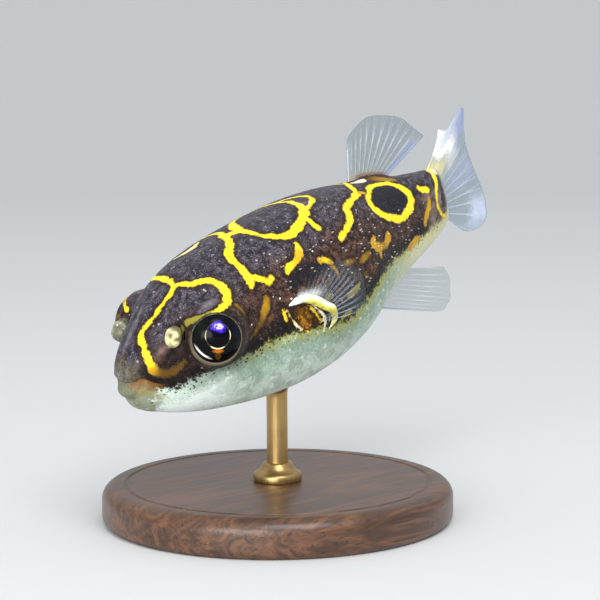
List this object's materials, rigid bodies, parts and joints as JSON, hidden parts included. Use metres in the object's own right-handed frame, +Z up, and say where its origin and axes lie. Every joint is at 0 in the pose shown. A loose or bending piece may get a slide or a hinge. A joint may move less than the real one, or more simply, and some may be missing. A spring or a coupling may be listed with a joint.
{
  "type": "figure-eight puffer fish, still museum model on a display stand",
  "caption": "Life-size freshwater puffer with raised eyes, fleshy lips and small rayed fins, nose down and tail turned, on one rod over a round base.",
  "frame": {"origin": "middle of the underside of the round base, straight under the rod", "axes": "+Z up; the fish heads along -X with its nose dipped, and its left side faces -Y"},
  "size_m": [0.0716, 0.046, 0.0528],
  "materials": {
    "skin": "moist satin skin, slate brown with lemon yellow lines and rings over a white belly",
    "lip": "soft satin, brown orange with pale wrinkles",
    "fin": "clear bluish web over pale rays, satin",
    "eye": "glossy black with a thin gold ring",
    "nose": "soft cream flesh, slightly clear",
    "wood": "dark stain under satin varnish",
    "brass": "satin, slightly aged"
  },
  "bodies": {
    "root": {"head": "skin", "trunk": "skin", "tail_stem": "skin", "upper_lip": "lip", "lower_lip": "lip", "dorsal_fin": "fin", "anal_fin": "fin", "tail_fin": "fin", "pectoral_fin_left": "fin", "pectoral_fin_right": "fin", "eye_left": "eye", "eye_right": "eye", "nasal_lobe_left": "nose", "nasal_lobe_right": "nose", "stand_base": "wood", "stand_ferrule": "brass", "stand_rod": "brass"}
  },
  "joints": []
}
